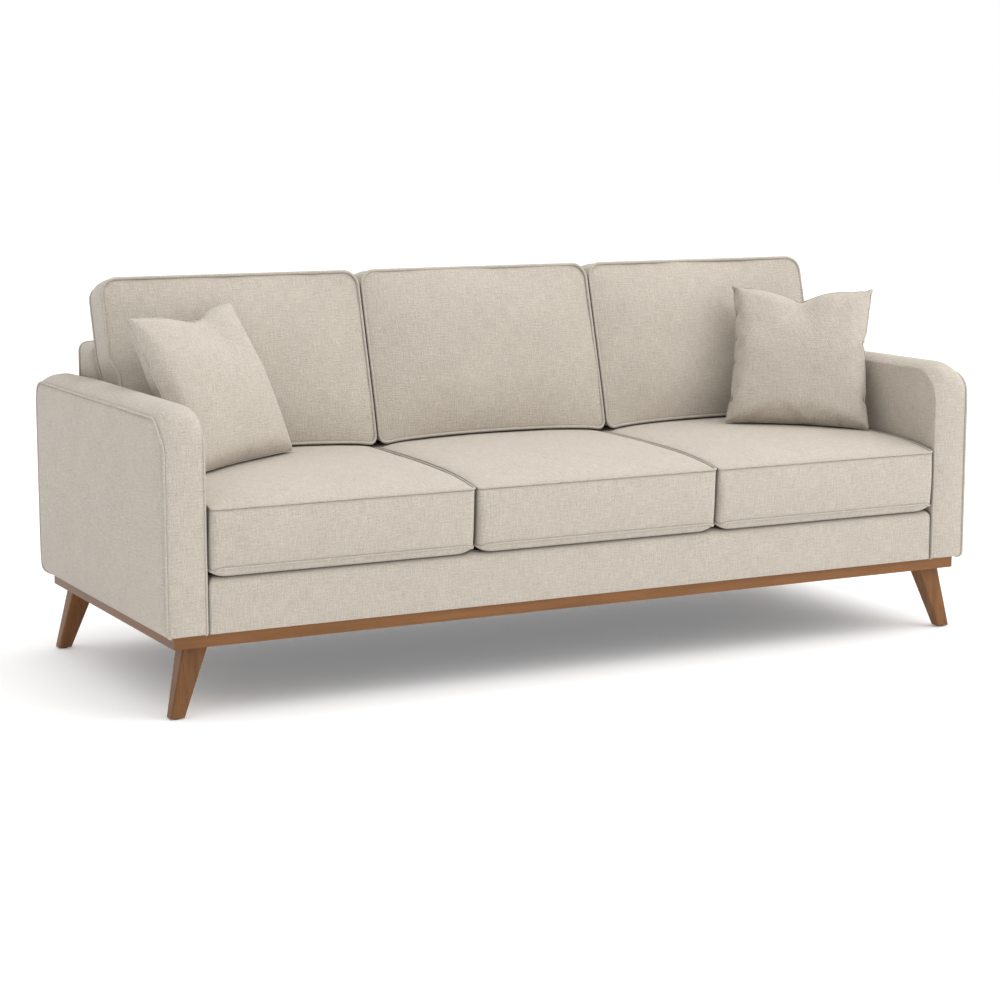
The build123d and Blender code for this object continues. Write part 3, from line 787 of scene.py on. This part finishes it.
deck_shape = slab_shape(deck_pad_low, deck_high)
points, faces, _, _ = boxed_surface(deck_shape, across=60, along=30, rings=3)
deck_item = soft_piece("seat_deck", (points, faces), material=deck_cloth)
set_piece(deck_item, "sofa_base", ["deck_cover", "deck_pad"])

dust_shape = slab_shape(dust_low, dust_high, dust_sag)
points, faces, _, _ = boxed_surface(dust_shape, across=50, along=24, rings=2)
dust_item = soft_piece("dust_cloth", (points, faces), material=dust_cloth)
set_piece(dust_item, "sofa_base", ["dust_cover"])


# ---------------------------------------------------------------- scatter cushions
pillow_grid = 56
pillow_thickness = 0.125
pillow_rest_gap = 0.0035
pillow_most_frames = 20
pillow_edge_gap = 0.001
pillow_first_swell = 0.012
pillow_crease_depth = 0.002
dent_pinch = 0.45
dent_foot_z = -0.04
dent_reach = 0.20


def flat_pillow(u, v, t):
    """Two square sheets sewn together, a little apart in the middle, facing -Y."""
    swell = (1 - u * u) * (1 - v * v)
    return np.stack([u / 2, -t * (pillow_edge_gap + pillow_first_swell * swell), v / 2], axis=1)


def inflate(points, faces, fullness):
    """The points after a cloth simulation blows the closed skin up to a thickness of `fullness`."""
    item = make_object("pillow_cloth", points, faces)
    turn_outward(item)
    cloth = item.modifiers.new("cloth", "CLOTH")
    settings = cloth.settings
    settings.quality = 6
    settings.mass = 0.3
    settings.tension_stiffness = 25
    settings.compression_stiffness = 25
    settings.shear_stiffness = 8
    settings.bending_stiffness = 5
    settings.air_damping = 3
    settings.use_pressure = True
    settings.uniform_pressure_force = 2.5
    settings.effector_weights.gravity = 0
    cloth.collision_settings.use_self_collision = False
    scene = bpy.context.scene
    for step in range(1, pillow_most_frames + 1):
        scene.frame_set(step)
        shown = item.evaluated_get(bpy.context.evaluated_depsgraph_get())
        result = np.array([vertex.co for vertex in shown.data.vertices])
        if np.ptp(result[:, 1]) >= fullness:
            break
    scene.frame_set(1)
    bpy.data.objects.remove(item)
    return result


def pillow_points(fullness):
    """A filled pillow about one metre wide, and where each point lies across and up its cloth."""
    flat, faces, _, _ = boxed_surface(flat_pillow, pillow_grid, pillow_grid, 2)
    across, up = flat[:, 0] * 2, flat[:, 2] * 2
    return inflate(flat, faces, fullness), faces, across, up


def seam_loop(points):
    """The ring of points halfway between the two sheets, which comes after both sheets' own."""
    sheet_points = pillow_grid**2
    return points[2 * sheet_points :]


def chop(points, place, depth, wide, narrow):
    """Presses a dent into the pillow's top edge, wide towards one side and narrow towards the other."""
    x, y, z = points.T
    offset = x - place
    width = np.where(offset < 0, wide, narrow)
    near_top = smooth((z - dent_foot_z) / dent_reach)
    dent = np.exp(-((offset / width) ** 2)) * near_top**2
    z = z - depth * dent
    y = y * (1 - dent_pinch * dent)
    return np.stack([x, y, z], axis=1)


def slump(points, across, up, side):
    """Lets a placed pillow's lower half sink until its bottom seam rests on the seat cushion."""
    rest = seat_top(points[:, 0] - side * cushion_pitch, points[:, 1]) + pillow_rest_gap
    on_seam = np.flatnonzero(up < -0.999)
    on_seam = on_seam[np.argsort(across[on_seam])]
    gaps = points[on_seam, 2] - rest[on_seam]
    points[:, 2] -= np.interp(across, across[on_seam], gaps) * smooth(-up)
    points[:, 2] = np.maximum(points[:, 2], rest)
    return points


# turn is (lean, roll, yaw) in degrees; dent is its place, depth, and width to each side.
pillows = {
    "left": {
        "side": -1,
        "size": 0.362,
        "fullness": 0.16,
        "turn": (-27.5, -2.3, 30.4),
        "dent": (0.045, 0.027, 0.095, 0.055),
    },
    "right": {
        "side": 1,
        "size": 0.352,
        "fullness": 0.26,
        "turn": (-25.4, 1.5, -34.2),
        "dent": (0.0, 0.019, 0.060, 0.045),
    },
}
for side_name, facts in pillows.items():
    lean, roll, yaw = facts["turn"]
    cover_low, cover_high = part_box(f"scatter_cushion_{side_name}_cover")
    centre = (cover_low + cover_high) / 2
    pillow, pillow_faces, across, up = pillow_points(facts["fullness"])
    points = pillow * (facts["size"] / np.ptp(pillow[:, 0]))
    points[:, 1] *= pillow_thickness / np.ptp(points[:, 1])
    points = chop(points, *facts["dent"])
    points[:, 1] += ripple(points, 0.07, len(side_name)) * pillow_crease_depth
    turn = (
        Matrix.Translation(centre)
        @ Matrix.Rotation(math.radians(yaw), 4, "Z")
        @ Matrix.Rotation(math.radians(lean), 4, "X")
        @ Matrix.Rotation(math.radians(roll), 4, "Y")
    )
    placed = np.array([turn @ Vector(point) for point in points])
    points = slump(placed, across, up, facts["side"])
    skin, seams = (points, pillow_faces), [seam_loop(points)]
    item = soft_piece(f"scatter_cushion_{side_name}", skin, seams, pillow_seam_radius)
    nodes = [f"scatter_cushion_{side_name}_cover", f"scatter_cushion_{side_name}_filling"]
    set_piece(item, f"scatter_cushion_{side_name}", nodes)


# ---------------------------------------------------------------- floor
floor_width = 60
# The floor glows faintly though it is no lamp: painted light that lifts the shadow under the sofa.
floor_glow = 0.18
floor_light, floor_dark = (0.90, 0.90, 0.90, 1), (0.88, 0.88, 0.88, 1)

bpy.ops.mesh.primitive_plane_add(size=floor_width, location=(0, 0, 0))
floor = bpy.context.active_object
floor.name = "floor"
floor_shader = Shader("floor_paint_and_glow")
floor_place = floor_shader.add("ShaderNodeTexCoord").outputs["Object"]
floor_tone = floor_shader.streaks(floor_place, (2, 2, 2))
floor_colour = floor_shader.blend(floor_tone, floor_dark, floor_light)
floor_shader.surface.inputs["Specular IOR Level"].default_value = 0.2
# Painted light: a faint white glow from the floor itself.
floor_shader.surface.inputs["Emission Color"].default_value = (1, 1, 1, 1)
floor_shader.surface.inputs["Emission Strength"].default_value = floor_glow
floor_paint_and_glow = floor_shader.finish(floor_colour, 0.6, floor_tone, bump_distance=0.0001, bump_strength=0.1)
floor.data.materials.append(floor_paint_and_glow)


# ---------------------------------------------------------------- key light
key_place, key_aim = Vector((3.9, -3.0, 4.4)), Vector((0, 0, 0.4))
key_width = 7.0
key_watts = 200

key_data = bpy.data.lights.new("key_light", "AREA")
key_data.shape = "SQUARE"
key_data.size = key_width
key_data.energy = key_watts
key_light = bpy.data.objects.new("key_light", key_data)
key_light.location = key_place
key_light.rotation_euler = (key_aim - key_place).to_track_quat("-Z", "Y").to_euler()
bpy.context.scene.collection.objects.link(key_light)


# ---------------------------------------------------------------- sky
# It is brightest overhead and a little brighter to the right, and plain white where the camera sees it.
sky_from_z, sky_to_z = 0.35, 1.0
sky_dim, sky_bright = 0.52, 1.75
sky_right_share = 0.16

world = bpy.data.worlds.new("studio")
world.use_nodes = True
sky_nodes, sky_links = world.node_tree.nodes, world.node_tree.links
background = sky_nodes["Background"]
background.inputs["Color"].default_value = (1, 1, 1, 1)
direction = sky_nodes.new("ShaderNodeTexCoord")
towards = sky_nodes.new("ShaderNodeSeparateXYZ")
glow = sky_nodes.new("ShaderNodeMapRange")
glow.inputs["From Min"].default_value = sky_from_z
glow.inputs["From Max"].default_value = sky_to_z
glow.inputs["To Min"].default_value = sky_dim
glow.inputs["To Max"].default_value = sky_bright
brighter_right = sky_nodes.new("ShaderNodeMath")
brighter_right.operation = "MULTIPLY_ADD"
brighter_right.inputs[1].default_value = sky_right_share
brighter_right.inputs[2].default_value = 1.0
sky = sky_nodes.new("ShaderNodeMath")
sky.operation = "MULTIPLY"
seen = sky_nodes.new("ShaderNodeLightPath")
white_when_seen = sky_nodes.new("ShaderNodeMix")
white_when_seen.inputs["B"].default_value = 1.0
sky_links.new(direction.outputs["Generated"], towards.inputs[0])
sky_links.new(towards.outputs["Z"], glow.inputs["Value"])
sky_links.new(seen.outputs["Is Camera Ray"], white_when_seen.inputs["Factor"])
sky_links.new(towards.outputs["X"], brighter_right.inputs[0])
sky_links.new(glow.outputs[0], sky.inputs[0])
sky_links.new(brighter_right.outputs[0], sky.inputs[1])
sky_links.new(sky.outputs[0], white_when_seen.inputs["A"])
sky_links.new(white_when_seen.outputs[0], background.inputs["Strength"])
bpy.context.scene.world = world


# ---------------------------------------------------------------- camera
camera_place = (-2.6294, -4.9419, 1.2255)
camera_azimuth, camera_elevation = math.radians(-27.728), math.radians(9.0564)
camera_lens, camera_sensor = 85.383, 36

camera_data = bpy.data.cameras.new("camera")
camera_data.sensor_width = camera_sensor
camera_data.lens = camera_lens
camera = bpy.data.objects.new("camera", camera_data)
back_of_camera = Vector(
    (
        math.sin(camera_azimuth) * math.cos(camera_elevation),
        -math.cos(camera_azimuth) * math.cos(camera_elevation),
        math.sin(camera_elevation),
    )
)
camera.location = camera_place
camera.rotation_euler = (-back_of_camera).to_track_quat("-Z", "Y").to_euler()
bpy.context.scene.collection.objects.link(camera)
bpy.context.scene.camera = camera
bpy.context.scene.view_settings.view_transform = "Standard"
